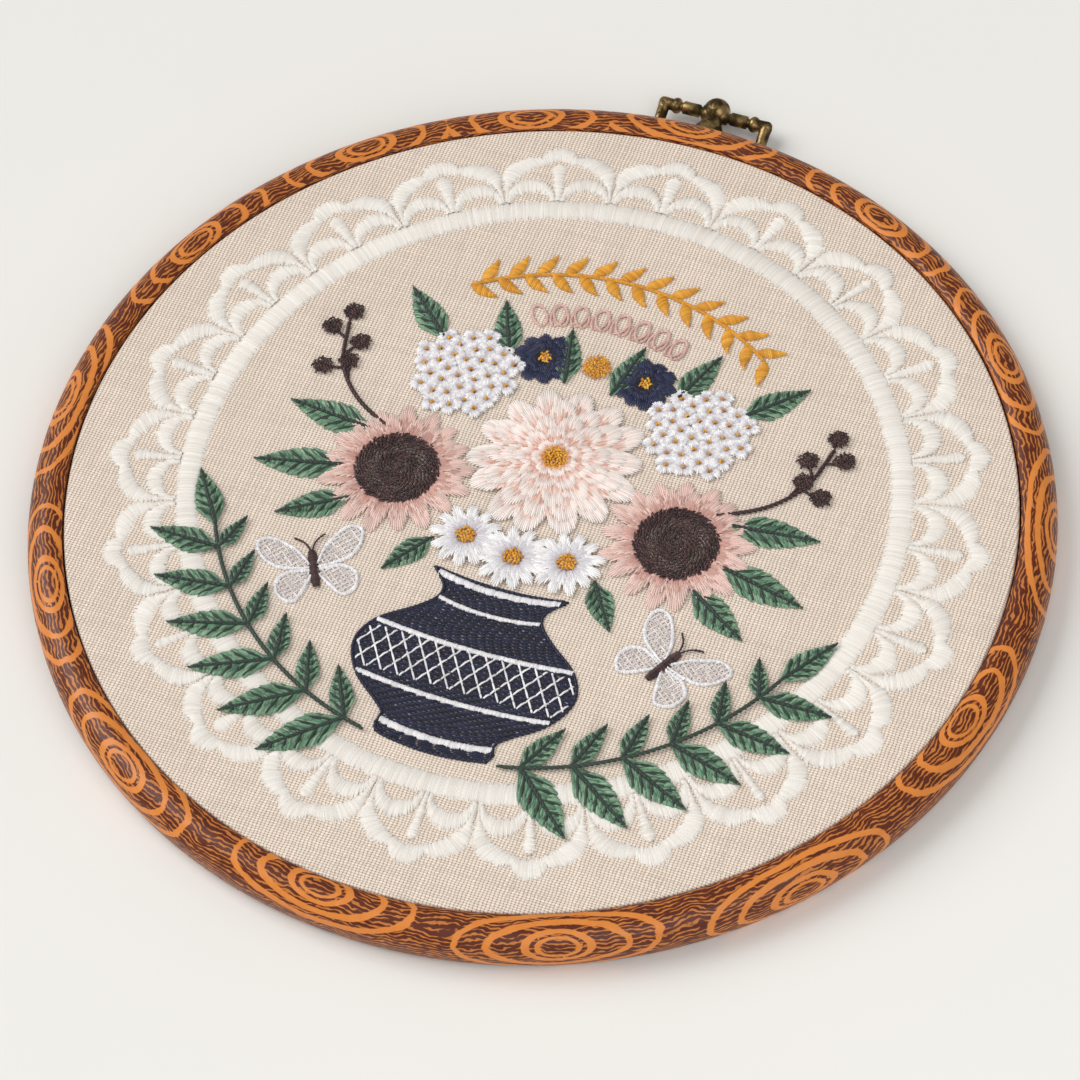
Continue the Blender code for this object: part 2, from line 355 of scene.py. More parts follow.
def brass_material():
    """Cast antique brass: dark in patches, brighter where it is rubbed."""
    paint = Paint("dark_brass", Metallic=0.9)
    place = paint.place()
    patches = paint.noise(place, 380.0, 3.0)
    fine = paint.noise(place, 2600.0, 3.0)
    rubbed = paint.spread(paint.add(paint.times(patches, 0.8), paint.times(fine, 0.2)), 0.42, 0.60)
    paint.put("Base Color", paint.mix(rubbed, (66, 54, 30), (156, 130, 86)))
    paint.put("Roughness", paint.spread(rubbed, 0, 1, 0.55, 0.32))
    paint.bump(paint.add(patches, paint.times(fine, 0.4)), 0.08, 0.6)
    return paint.material


def brown_plastic_material():
    paint = Paint("ring_brown")
    place = paint.place()
    mottled = paint.noise(place, 90.0, 3.0)
    paint.put("Base Color", paint.mix(mottled, (112, 74, 50), (134, 90, 62)))
    paint.bump(paint.noise(place, 1500), 0.03, 0.5)
    return paint.material


def floor_material():
    paint = Paint("floor", roughness=0.75)
    faint = paint.noise(paint.place(), 14.0, 3.0)
    paint.put("Base Color", paint.mix(faint, (241, 240, 236), (244, 243, 240)))
    return paint.material


# --- meshes


def pair(x, y):
    """x and y together, as points."""
    return np.stack(np.broadcast_arrays(x, y), axis=-1)


def whole_turn(count):
    """So many even steps of angle around a whole turn."""
    return np.linspace(0, 2 * pi, count, endpoint=False)


def on_hoop(x, y, z):
    """Points in the hoop's own plane and height, in millimetres, as a list of points in metres."""
    points = np.stack(np.broadcast_arrays(x + HOOP_CENTRE[0], y + HOOP_CENTRE[1], z), axis=-1)
    return points.reshape(-1, 3) * MM


def grid_corners(rows, columns):
    """The row and the column of each corner of each cell of a grid."""
    row, column = np.meshgrid(np.arange(rows), np.arange(columns), indexing="ij")
    return row.reshape(-1, 1) + [[0, 0, 1, 1]], column.reshape(-1, 1) + [[0, 1, 1, 0]]


def grid_quads(rows, columns, wrap_rows=False, wrap_columns=False):
    """Quads between the points of a grid that are numbered row by row."""
    row, column = grid_corners(rows - (not wrap_rows), columns - (not wrap_columns))
    return row % rows * columns + column % columns


def add_object(name, data):
    made = bpy.data.objects.new(name, data)
    bpy.context.scene.collection.objects.link(made)
    return made


def new_piece(name, points, quads, material):
    """A smooth-shaded mesh that rides with the hoop."""
    mesh = bpy.data.meshes.new(name)
    mesh.vertices.add(len(points))
    mesh.vertices.foreach_set("co", np.asarray(points, np.float32).ravel())
    mesh.loops.add(quads.size)
    mesh.loops.foreach_set("vertex_index", quads.astype(np.int32).ravel())
    mesh.polygons.add(len(quads))
    mesh.polygons.foreach_set("loop_start", np.arange(0, quads.size, 4, dtype=np.int32))
    mesh.update(calc_edges=True)
    mesh.shade_smooth()
    mesh.materials.append(material)
    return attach(add_object(name, mesh), "root")


def round_piece(name, radius, z, columns, material, wrap_rows=False):
    """A piece turned about the hoop's middle, from the radius and the height of each row."""
    angle = whole_turn(columns)
    points = on_hoop(radius * np.sin(angle), radius * np.cos(angle), z)
    return new_piece(name, points, grid_quads(len(radius), columns, wrap_rows, True), material)


def point_attribute(piece, name, kind, key, values):
    layer = piece.data.attributes.new(name, kind, "POINT")
    layer.data.foreach_set(key, np.asarray(values, np.float32).ravel())


def merge_doubles(piece):
    """Join the points that lie together, such as those at the end of a turned shape."""
    shape = bmesh.new()
    shape.from_mesh(piece.data)
    bmesh.ops.remove_doubles(shape, verts=shape.verts, dist=0.001 * MM)
    bmesh.ops.recalc_face_normals(shape, faces=shape.faces)
    shape.to_mesh(piece.data)
    shape.free()
    return piece


# --- stitches


def thread_piece(name, material, rows, stations, sideways, z, across, shade=None):
    """One mesh of threads, each from its row's first two numbers to its next two. The points of
    its section lie sideways of its middle, at z; across says where in the section they are. A
    thread's shade is its tone if none is given."""
    start, end = rows[:, None, 0:2], rows[:, None, 2:4]
    share = np.array(stations)[None, :]
    run = end - start
    length = np.maximum(norm(run, axis=2), 1e-6)
    side = pair(-run[..., 1], run[..., 0]) / length[..., None]
    middle = start + run * share[..., None] + LACE_CENTRE
    x, y = (middle[..., k, None] + side[..., k, None] * sideways for k in (0, 1))
    count, *section = x.shape
    quads = grid_quads(*section) + prod(section) * np.arange(count)[:, None, None]
    made = new_piece(name, on_hoop(x, y, z), quads.reshape(-1, 4), material)
    tone = uniform(0, 1, count)[:, None, None]
    thread = np.stack(np.broadcast_arrays((length * share)[..., None], across, tone), axis=-1)
    point_attribute(made, "thread", "FLOAT_VECTOR", "vector", thread)
    shade = np.broadcast_to(tone if shade is None else shade, x.shape)
    point_attribute(made, "shade", "FLOAT", "value", shade)
    return made


class Threads:
    """The stitches of one piece, each a thread with a half-round section that dips into the
    cloth at both ends. Places are in the design's plane, heights above the cloth."""

    def __init__(self):
        self.rows = []

    def add(
        self, start, end, rise=THREAD_RISE, base=0.0, shade=0.5, shade_end=None, width=THREAD_WIDTH
    ):
        """One stitch from each start to its end."""
        start, end = np.atleast_2d(start), np.atleast_2d(end)
        values = (rise, base, shade, shade if shade_end is None else shade_end, width)
        single = [np.broadcast_to(value, len(start)) for value in values]
        self.rows.append(np.column_stack([start, end, *single]))

    def piece(self, name, material):
        rows = np.concatenate(self.rows)
        rise, base, shade, shade_end, width = (column[:, None] for column in rows[:, 4:].T)
        share = np.array(THREAD_STATIONS)
        arch = 1 - np.abs(2 * share - 1) ** THREAD_ARCH
        height = base + rise * arch - THREAD_DIP * (1 - arch)
        half_width = width / 2 * (THREAD_END_WIDTH + (1 - THREAD_END_WIDTH) * arch)
        turn = np.linspace(0, pi, THREAD_SIDES)
        sideways = half_width[..., None] * np.cos(turn)
        z = FACE_Z + height[..., None] + half_width[..., None] * np.sin(turn)
        shades = (shade + (shade_end - shade) * share)[..., None]
        return thread_piece(name, material, rows, share, sideways, z, turn / pi, shades)


def polar(radius, angle):
    """Points at these radii and angles, clockwise from the hanger's side."""
    return pair(radius * np.sin(angle), radius * np.cos(angle))


def turned(points, angle):
    """Points turned clockwise about the design's middle."""
    return points @ np.array([[cos(angle), -sin(angle)], [sin(angle), cos(angle)]])


def resample(points, step, closed=False):
    """Points at even steps along a line."""
    if closed:
        points = np.vstack([points, points[:1]])
    gaps = norm(np.diff(points, axis=0), axis=1)
    along = np.concatenate([[0], np.cumsum(gaps)])
    count = max(2, int(round(along[-1] / step)) + 1)
    at = np.linspace(0, along[-1], count)[: -1 if closed else None]
    return pair(*(np.interp(at, along, values) for values in points.T))


def curve(points, count=60):
    """A smooth line through a few points: a Catmull-Rom spline."""
    points = np.asarray(points, float)
    padded = np.vstack([2 * points[0] - points[1], points, 2 * points[-1] - points[-2]])
    at = np.linspace(0, len(points) - 1 - 1e-9, count)
    i = at.astype(int)
    t = (at - i)[:, None]
    p0, p1, p2, p3 = (padded[i + k] for k in range(4))
    square, cube = 2 * p0 - 5 * p1 + 4 * p2 - p3, 3 * p1 - p0 - 3 * p2 + p3
    return 0.5 * (2 * p1 + (p2 - p0) * t + square * t**2 + cube * t**3)


def satin(threads, left, right, rise, base=0.0, ragged=0.08, uneven=0.06, **more):
    """Stitches side by side, each from a point of one rail to the same point of the other. ragged
    is how far their ends may lie off the rails, and uneven how much their heights differ."""
    across = right - left
    across = across / np.maximum(norm(across, axis=1, keepdims=True), 1e-6)
    count = len(left)
    start = left + across * ragged * uniform(-1, 1, (count, 1))
    end = right + across * ragged * uniform(-1, 1, (count, 1))
    lift = rise * uniform(1 - uneven, 1 + uneven, count)
    threads.add(start, end, rise=lift, base=base, **more)


def rope(threads, path, width=0.5, step=1.1, **more):
    """Stem stitch: short overlapping stitches along a line."""
    points = resample(path, step)
    ahead = np.minimum(np.arange(len(points)) + 2, len(points) - 1)
    tangent = np.gradient(points, axis=0)
    side = pair(tangent[:, 1], -tangent[:, 0])
    side = 0.22 * width * side / norm(side, axis=1, keepdims=True)
    keep = ahead > np.arange(len(points))
    threads.add((points - side)[keep], (points + side)[ahead][keep], width=width, **more)


# --- lace border

# The bare opening inside a scallop's outline is half an ellipse that stands just off the band and
# comes to a blunt point.
OPENING_FOOT = 0.3
OPENING_HEIGHT = 10.1
OPENING_SHARE = 0.94
OPENING_POINT = 0.9
# The narrow gap between the legs of two scallops.
LEG_GAP = 0.22
# A scallop's stitches point away from this place.
STITCH_HUB_R = 77.0
# A crescent: its middle, as a share of half a scallop, and how far its outer and its inner edge
# reach outwards, and to the sides as such a share. Its length is along an edge.
CRESCENT_AT = 0.51
CRESCENT_EDGES = ((6.7, 0.47), (2.7, 0.37))
CRESCENT_LENGTH = 15
# A drop: half its width at its foot and how much more it is at its end, which is round from
# DROP_ROUND of its length on. Each drop has its own fullness.
DROP_LENGTH = 9.9
DROP_FOOT = 0.45
DROP_SWELL = 0.75
DROP_ROUND = 0.86
DROP_FULLNESS = (1.0, 1.65)
LACE_COLOURS = ((0, (231, 223, 213)), (1, (252, 248, 242)))


def drawn(points):
    """Points of the even lace, where the stretched linen has drawn them."""
    radius = norm(points, axis=-1)
    angle = np.arctan2(points[..., 0], points[..., 1]) + LACE_TURN
    swell = LACE_SWELL * np.cos(angle - LACE_SWELL_AT) * np.maximum(0, radius - BAND_OUTER_R)
    return polar(radius + swell, angle + LACE_SLIDE * np.sin(angle - LACE_SLIDE_FROM))


def lace_satin(threads, left, right, turn=0.0, ragged=0.3):
    """Fine, even satin between two rails of the even lace, rough at its edges where it's wide."""
    sway = np.gradient(left, axis=0) * rng.normal(0, 0.05, (len(left), 1))
    left, right = (drawn(turned(rail + sway, turn)) for rail in (left, right))
    shade = uniform(0.35, 1.0, len(left))
    length = norm(right - left, axis=1, keepdims=True)
    rough = ragged * np.clip(length / 2.5, 0.2, 1)
    satin(threads, left, right, LACE_RISE, ragged=rough, uneven=0.04, width=LACE_WIDTH, shade=shade)


def scallop_radius(angle):
    """How far a scallop reaches at these angles from its middle."""
    reach = np.full_like(angle, CUSP_R)
    for lobe_angle, lobe_centre, lobe_radius in LOBES:
        across = lobe_centre * np.sin(angle - lobe_angle)
        along = lobe_centre * np.cos(angle - lobe_angle)
        out = along + np.sqrt(np.maximum(lobe_radius**2 - across**2, 0))
        reach = np.where(np.abs(across) < lobe_radius, np.maximum(reach, out), reach)
    return reach


def scallop_rails():
    """The edges of one scallop's outline: its lobes with two legs to the band, and its opening."""
    legs = np.linspace(BAND_OUTER_R + 0.4, CUSP_R, 40)[:-1]
    side = SCALLOP_HALF - LEG_GAP * np.sin(pi * (legs - legs[0]) / (CUSP_R - legs[0])) / legs
    across = np.linspace(-SCALLOP_HALF, SCALLOP_HALF, 800)
    radius = np.concatenate([legs, scallop_radius(across), legs[::-1]])
    outer = resample(polar(radius, np.concatenate([-side, across, side])), LACE_PITCH)
    around = np.linspace(-pi / 2, pi / 2, 400)
    point = OPENING_POINT * np.maximum(0, 1 - np.abs(around) / 0.6) ** 1.5
    reach = BAND_OUTER_R + OPENING_FOOT + OPENING_HEIGHT * np.cos(around) + point
    inner = polar(reach, OPENING_SHARE * SCALLOP_HALF * np.sin(around))
    outer_at, inner_at = (np.arctan2(x, y - STITCH_HUB_R) for x, y in (outer.T, inner.T))
    return outer, pair(*(np.interp(outer_at, inner_at, values) for values in inner.T))


def crescent_rails():
    """The edges of the crescent between a scallop's side and its middle: thick in its middle, with
    two thin feet on the band."""
    around = np.linspace(-pi / 2, pi / 2, int(CRESCENT_LENGTH / LACE_PITCH))
    middle, foot = CRESCENT_AT * SCALLOP_HALF, BAND_OUTER_R + 0.1
    for out, aside in CRESCENT_EDGES:
        yield polar(foot + out * np.cos(around), middle + aside * SCALLOP_HALF * np.sin(around))


def drop_rails(fullness):
    """The edges of the drop that stands in a scallop's middle."""
    share = np.linspace(0, 1, int((DROP_LENGTH + 0.3) / LACE_PITCH))
    radius = BAND_OUTER_R + 0.2 + DROP_LENGTH * share
    half = fullness * (DROP_FOOT + DROP_SWELL * share**1.3)
    round_end = np.sqrt(np.clip(1 - ((share - DROP_ROUND) / (1 - DROP_ROUND)) ** 2, 0.08, 1))
    half = np.where(share > DROP_ROUND, half * round_end, half)
    return pair(-half, radius), pair(half, radius)


def lace_border():
    band, scallops, fillings = Threads(), Threads(), Threads()
    angle = whole_turn(int(2 * pi * BAND_OUTER_R / LACE_PITCH))
    lace_satin(band, polar(BAND_INNER_R - 0.1, angle), polar(BAND_OUTER_R + 0.1, angle + 0.002))
    for k in range(SCALLOPS):
        turn = 2 * SCALLOP_HALF * k
        lace_satin(scallops, *scallop_rails(), turn)
        for mirror in (1, -1):
            lace_satin(fillings, *(rail * (mirror, 1) for rail in crescent_rails()), turn, 0.35)
        lace_satin(fillings, *drop_rails(uniform(*DROP_FULLNESS)), turn, 0.25)
    white = thread_material("white_thread", LACE_COLOURS, roughness=0.5, spread=0.05)
    sewn = {"lace_band": band, "lace_scallops": scallops, "lace_fillings": fillings}
    return [(threads, threads.piece(name, white)) for name, threads in sewn.items()]


# --- flowers and leaves

# A petal's stitches meet at these shares of its length, and its rim is so ragged. Each side is
# darker from PETAL_SIDE of its half width on.
PETAL_BEND = (0.42, 0.62)
PETAL_RAGGED = 0.22
PETAL_SIDE = 0.72


def fan_petal(threads, centre, facing, spread, inner, outer, base, tip=0.25, dark=0.0, streaks=0):
    """A petal of straight stitches that fan out from a flower's middle, long and short, from dark
    to light, with a few dark streaks over them. tip is how pointed it is."""
    count = max(5, int(2 * spread * outer * 0.9 / PITCH))
    s = np.linspace(-1, 1, count)
    angle = facing + s * spread
    near = inner * uniform(0.92, 1.1, count)
    far = outer * (1 - tip * np.abs(s) ** 2.2) + uniform(-PETAL_RAGGED, PETAL_RAGGED, count)
    edge = 0.55 * np.clip((np.abs(s) - PETAL_SIDE) / (1 - PETAL_SIDE), 0, 1)
    bend = near + (far - near) * uniform(*PETAL_BEND, count)
    half_way = dark + (1.0 - dark) * 0.62 - edge

    def lay(low, high, angle, **more):
        threads.add(np.add(centre, polar(low, angle)), np.add(centre, polar(high, angle)), **more)

    lay(near, bend + 0.5, angle, base=base, shade=dark - edge * 0.3, shade_end=half_way)
    lay(bend - 0.4, far, angle, base=base + 0.06, shade=half_way, shade_end=1.0 - edge)
    if streaks:
        angle = facing + uniform(-0.7, 0.7, streaks) * spread
        low = inner + (outer - inner) * uniform(0.0, 0.2, streaks)
        high = inner + (outer - inner) * uniform(0.4, 0.78, streaks)
        lay(low, high, angle, base=base + 0.1, shade=dark, shade_end=dark + 0.25, width=0.34)


def rosette(threads, centre, rings, turn=0.0, **more):
    """Rings of petals, the outermost first: petals, inner and outer radius, height."""
    for k, (petals, inner, outer, base) in enumerate(rings):
        spread = pi / petals * 1.12
        for i in range(petals):
            facing = 2 * pi * (i + 0.5 * (k % 2)) / petals + turn + uniform(-0.04, 0.04)
            reach = outer * uniform(0.96, 1.04)
            fan_petal(threads, centre, facing, spread, inner, reach, base + 0.06 * (i % 2), **more)


GOLDEN_ANGLE = radians(137.508)


def seeded(centre, radius, count):
    """Points spread evenly over a round, as seeds are in a flower's head."""
    i = np.arange(count) + 0.5
    return np.add(centre, polar(radius * np.sqrt(i / count), i * GOLDEN_ANGLE))


def knots(threads, centre, radius, count, size=0.9, base=0.5, shade=(0.2, 0.9)):
    """A heap of small knots and short stitches."""
    at = seeded(centre, radius, count) + rng.normal(0, 0.06, (count, 2))
    way = polar(size / 2, uniform(0, pi, count))
    shades = uniform(*shade, count)
    threads.add(at - way, at + way, rise=0.45, base=base, shade=shades, width=0.5)


LEAF_TEETH = 8
# How much of a leaf's length its side stitches slant towards the tip, at its root.
LEAF_SLANT = 0.3


def leaf(green, veins, root, facing, length, width, base):
    """A toothed leaf: slanting stitches on both sides of a dark midrib, with side veins that run
    with them to the notches of its edge."""
    share = np.linspace(0.0, 1.0, int(length / PITCH))

    def edge(at):
        at = np.clip(at, 0, 1)
        teeth = 0.93 + 0.14 * np.mod(at * LEAF_TEETH, 1.0)
        return width / 2 * np.sin(pi * at**0.76) ** 0.9 * teeth

    def put(x, y):
        return np.add(root, turned(pair(x, y), facing))

    for side in (-1, 1):
        reach = np.clip(share + LEAF_SLANT * (1 - share), 0, 1)
        start = put(0.0, share * length * 0.97)
        end = put(side * edge(reach), reach * length)
        bend = start + (end - start) * uniform(0.35, 0.7, (len(share), 1))
        inward, outward = uniform(0.05, 0.8, len(share)), uniform(0.2, 1.0, len(share))
        for rails, shade in (((start, bend), inward), ((bend, end), outward)):
            satin(green, *rails, THREAD_RISE, base, ragged=0.12, shade=shade)
        for notch in range(3, LEAF_TEETH + 1):
            out = notch / LEAF_TEETH
            tip = put(side * edge(out - 0.001) * 0.86, out * length)
            start = put(0.0, max(0.0, (out - LEAF_SLANT) / (1 - LEAF_SLANT)) * length)
            veins.add(start, tip, rise=0.2, base=base + 0.2, shade=0.4, width=0.62)
            veins.add(start, start + 0.6 * (tip - start) + (0.12, 0.12), rise=0.25, base=base + 0.2)
    midrib = put(np.zeros(20), np.linspace(-0.02, 0.97, 20) * length)
    rope(veins, midrib, width=0.66, rise=0.22, base=base + 0.28, shade=0.35)
    rope(veins, midrib[:10] + (0.2, 0.15), width=0.6, rise=0.25, base=base + 0.28)
    beside = np.array([-0.3, 0.0, 0.3])
    tips = put(beside, 0.88 * length), put(0.2 * beside, length)
    veins.add(*tips, rise=0.2, base=base + 0.2, shade=0.3)


def plain_leaf(threads, root, facing, length, width):
    """A small pointed leaf of satin stitches, which slant towards its tip."""
    share = np.linspace(0.04, 0.98, max(6, int(length / PITCH)))
    half = width / 2 * np.sin(pi * share**0.8)
    slant = 0.35
    left, right = (
        np.add(root, turned(pair(side * half, share * length + side * slant), facing))
        for side in (-1, 1)
    )
    satin(threads, left, right, 0.4, 0.1, shade=uniform(0.3, 0.8, len(share)))


def fill(threads, outline, facing, pitch=PITCH, stitch=3.4, shade=(0.25, 0.75), **more):
    """Rows of stitches that fill a closed outline, each row running towards facing."""
    shape = turned(outline, -facing)
    ahead = np.roll(shape, -1, axis=0)
    for row, x in enumerate(np.arange(shape[:, 0].min() + pitch / 2, shape[:, 0].max(), pitch)):
        crossing = (shape[:, 0] > x) != (ahead[:, 0] > x)
        low, high = shape[crossing], ahead[crossing]
        y = np.sort(low[:, 1] + (x - low[:, 0]) / (high[:, 0] - low[:, 0]) * (high[:, 1] - low[:, 1]))
        for bottom, top in zip(y[::2], y[1::2]):
            breaks = bottom + stitch * (np.arange(int((top - bottom) / stitch) + 3) - 0.37 * row % 1)
            breaks = np.unique(np.clip(breaks, bottom, top))
            keep = np.diff(breaks) > 0.3
            starts = turned(pair(x, breaks[:-1][keep] - 0.08), facing)
            ends = turned(pair(x, breaks[1:][keep] + 0.08), facing)
            threads.add(starts, ends, shade=uniform(*shade, len(starts)), **more)


# --- the posy

# Each thread colour, by shade.
SHADES = {
    "navy": ((0, (9, 11, 28)), (0.5, (19, 23, 50)), (1, (40, 47, 84))),
    "brown": ((0, (32, 16, 19)), (0.5, (58, 34, 35)), (1, (96, 64, 60))),
    "blush": ((0, (212, 142, 118)), (0.4, (240, 208, 196)), (1, (253, 246, 241))),
    "white": ((0, (204, 198, 206)), (0.5, (240, 237, 240)), (1, (253, 252, 252))),
    "green": ((0, (54, 88, 68)), (0.5, (98, 140, 110)), (1, (146, 180, 148))),
    "deep_green": ((0, (20, 32, 28)), (1, (46, 68, 54))),
    "gold": ((0, (190, 118, 16)), (0.5, (228, 158, 32)), (1, (246, 192, 70))),
    "rose": ((0, (190, 136, 124)), (0.5, (222, 180, 168)), (1, (240, 212, 202))),
}
FINISHES = {"navy": dict(sheen=0.05, speck=(150, 156, 172)), "brown": dict(sheen=0.08)}

# Rings of petals from the outermost: how many, their inner and outer radius and their height.
DAHLIA_RINGS = (
    (14, 9.6, 18, 0.4), (13, 7.4, 14.8, 0.7), (11, 5.2, 11.4, 0.95), (9, 3.4, 8.2, 1.15),
    (7, 1.8, 5.2, 1.3),
)
SUNNY_RINGS = ((17, 8, 15.6, 0.15), (16, 7.8, 13.4, 0.35))
DAISY_RINGS = ((12, 1.8, 7.6, 0.55),)
CORNFLOWER_RINGS = ((10, 1.6, 6.4, 0.1), (8, 0.9, 4.2, 0.3))
HYDRANGEA_FLORETS = 36

# Leaves of the posy, each made left and right: root x and y, facing in degrees, length, width.
POSY_LEAVES = (
    (38, 3, 84, 18, 7), (40, -7, 103, 18, 7.2), (36, -14, 122, 15, 6.4),
    (32, 29, 46, 15, 6.2), (18, 29, 22, 14, 5.8), (5, 26, 12, 13.5, 5.4),
    (17, -18, 146, 12, 5.4),
)

# The vase: heights in the design and half widths there.
VASE_PROFILE = (
    (-63.5, 11.6), (-61.5, 12.2), (-59.6, 11.2), (-57, 13.8), (-52, 19.8), (-45.5, 22.8),
    (-39.5, 20.6), (-34.5, 14.4), (-31, 10.9), (-28.4, 10.3), (-25.8, 12.2), (-24, 14.2),
)
VASE_SAG = 1.4
# Its white bands: the height in the design and half the width of each. The lattice lies between
# two of them.
VASE_BANDS = ((-60.6, 0.8), (-51.6, 0.6), (-39.2, 0.6), (-30.6, 0.5), (-25.2, 0.8))
VASE_LATTICE = (-50.6, -40.2)

# One side's wings of a butterfly: points along the edge, from its body and back to it.
WINGS = (
    ((0.4, 0.6), (3, 5.4), (7.4, 8.8), (10.6, 8.2), (10.2, 4.4), (7, 1), (0.4, -0.2)),
    ((0.4, -0.3), (5.2, 0.2), (8.2, -2), (8, -5.6), (5.2, -7.6), (2.6, -5.2), (0.4, -1.6)),
)

# The twig's path, and its berries: their share of its length, their facing and their reach.
TWIG = ((34, 4), (43.5, 9.5), (49.5, 17), (52, 27))
BERRIES = ((0.5, 20, 5), (0.62, 100, 4.4), (0.74, -30, 4.6), (0.88, 62, 4.2), (1, 0, 2.6))

# The leaves at the foot of the lace: their stem's radius, its start and end, and where the first
# and the last pair of leaves stand, in degrees clockwise from the hanger.
WREATH_R = 65.5
WREATH_STEM = np.radians([168, 116])
WREATH_PAIRS = np.radians([164, 121])


def vase_side(low=-inf, high=inf):
    """The vase's right edge, from low to high: x and y."""
    smooth = curve([(half, y) for y, half in VASE_PROFILE], 160)
    return smooth[(smooth[:, 1] >= low) & (smooth[:, 1] <= high)]


def sagging(points):
    """Points of the vase's level lines, bent down in the middle as on a round body."""
    half = np.interp(points[:, 1], *vase_side().T[::-1])
    return points - pair(0, VASE_SAG * (1 - np.clip(points[:, 0] / half, -1, 1) ** 2))


def vase(threads, trim):
    side = vase_side()
    top = np.linspace(1, -1, 40)[1:-1, None] * (side[-1, 0], 0) + (0, side[-1, 1])
    foot = np.linspace(-1, 1, 40)[1:-1, None] * (side[0, 0], 0) + (0, side[0, 1])
    outline = sagging(np.vstack([side, top, (side * (-1, 1))[::-1], foot]))
    fill(threads, outline, radians(84), rise=0.2)
    rope(threads, np.vstack([outline, outline[:1]]), width=0.6)
    band = vase_side(*VASE_LATTICE) - (0.6, 0)
    corners = sagging(np.vstack([band, (band * (-1, 1))[::-1]]))
    for facing in (33, -33):
        fill(trim, corners, radians(facing), 2.9, 2.4, (0.4, 0.9), base=0.2)
    for y, half_height in VASE_BANDS:
        reach = np.interp(y, *side.T[::-1]) - 0.2
        x = np.arange(-reach, reach, 0.9 * PITCH)
        low = sagging(pair(x, y - half_height))
        shade = uniform(0.4, 0.9, len(x))
        satin(trim, low, low + (0.15, 2 * half_height), 0.35, 0.15, shade=shade)


def hydrangea(white, gold, centre, radius):
    for k, at in enumerate(seeded(centre, radius - 1.8, HYDRANGEA_FLORETS)):
        turn = uniform(0, pi / 2)
        height = 0.15 + 0.5 * (1 - norm(at - centre) / radius)
        for petal in range(4):
            facing = turn + petal * pi / 2
            fan_petal(white, at, facing, 0.64, 0.3, 2.5, height + 0.05 * (k % 3), tip=0.2)
        knots(gold, at, 0.3, 2, size=0.6, base=height + 0.32)


def daisy(white, gold, centre, turn):
    rosette(white, centre, DAISY_RINGS, turn=turn, tip=0.5)
    knots(gold, centre, 1.9, 26, base=0.75)


def butterfly(white, brown, centre, facing):
    """Open lattice wings with a satin edge, and a dark body with feelers."""

    def put(points):
        return np.add(centre, turned(points, facing))

    for mirror in (1, -1):
        for wing in WINGS:
            outline = put(curve(np.array(wing + wing[:1]), 120)[:-1] * (mirror, 1))
            for way in (38, -52):
                fill(white, outline, radians(way), 0.95, 2.2, (0.1, 0.6), rise=0.2, width=0.3)
            inside = outline.mean(axis=0)
            rim = resample(outline, PITCH, closed=True)
            inner = rim + (inside - rim) * 0.8 / norm(inside - rim, axis=1, keepdims=True)
            satin(white, rim, inner, 0.35, 0.1, ragged=0.12, shade=uniform(0.5, 1, len(rim)))
        feeler = curve([(0.0, 3.4), (mirror * 1.0, 6.0), (mirror * 3.2, 7.6)], 20)
        rope(brown, put(feeler), width=0.36, step=0.8, rise=0.25, base=0.3, shade=0.4)
    along = np.linspace(-4.6, 3.8, 30)
    half = 0.35 + 0.75 * np.sqrt(np.clip(1 - ((along + 0.2) / 4.8) ** 2, 0, 1))
    body = (put(pair(sign * half, along)) for sign in (-1, 1))
    satin(brown, *body, 0.6, 0.2, shade=uniform(0.2, 0.8, 30))


def wreath_spray(green, veins, side):
    """Leaves along the foot of the lace: outer ones lie over the border, inner ones on the linen."""
    stem = polar(WREATH_R, np.linspace(*WREATH_STEM, 40)) * (side, 1)
    rope(veins, stem, width=0.8, base=0.5, shade=0.7)

    def grow(at, lean, length, width):
        root, facing = polar(WREATH_R, at) * (side, 1), side * (at - radians(lean))
        leaf(green, veins, root, facing, length, width, base=0.5)

    for k, at in enumerate(np.linspace(*WREATH_PAIRS, 6)):
        for lean, length in ((32, 18.0 - 0.7 * k), (138, 12.0 - 0.6 * k)):
            grow(at, lean, length, length * 0.4)
    grow(WREATH_STEM[1], 82, 14.0, 5.6)


def arc_sprig(threads, radius, spread, count, length):
    """A stem along an arc with small leaves on both sides."""
    angle = np.linspace(-spread, spread, 80)
    rope(threads, polar(radius, angle), width=0.75, rise=0.35, shade=0.4)
    for k, at in enumerate(np.linspace(-spread, spread, count)):
        facing = at + radians(42 if k % 2 else 138)
        plain_leaf(threads, polar(radius, at), facing, length, length * 0.42)


def looped_arc(threads, radius, spread, count):
    """A row of open oval loops in stem stitch."""
    around = np.linspace(0, 2 * pi, 25)
    loop = pair(1.5 * np.sin(around), 2.9 - 2.9 * np.cos(around))
    for k, at in enumerate(np.linspace(-spread, spread, count)):
        lean = at + radians(20 if k % 2 else -14)
        rope(threads, turned(loop, lean) + polar(radius - 2.9, at), step=0.8)


def twig(brown, side):
    """A dark twig with berries, to each side of the posy."""
    path = curve(np.array(TWIG) * (side, 1))
    rope(brown, path, width=0.8, rise=0.35, base=0.1)
    for share, facing, reach in BERRIES:
        root = path[int(share * (len(path) - 1))]
        tip = root + polar(reach, side * radians(facing))
        rope(brown, np.array([root, tip]), width=0.6, base=0.1, shade=0.4)
        knots(brown, tip, 2.0, 40, size=1.0, base=0.35, shade=(0.1, 0.9))


def seed_head(threads, centre, radius, count, base):
    """A round of short stitches that swirl about its middle."""
    at = seeded(centre, radius, count)
    off = at - centre
    way = polar(0.9, np.arctan2(off[:, 0], off[:, 1]) + 1.1 + rng.normal(0, 0.15, count))
    dome = base + 0.35 * (1 - (norm(off, axis=1) / radius) ** 2)
    threads.add(at - way, at + way, base=dome, shade=uniform(0.1, 0.8, count))


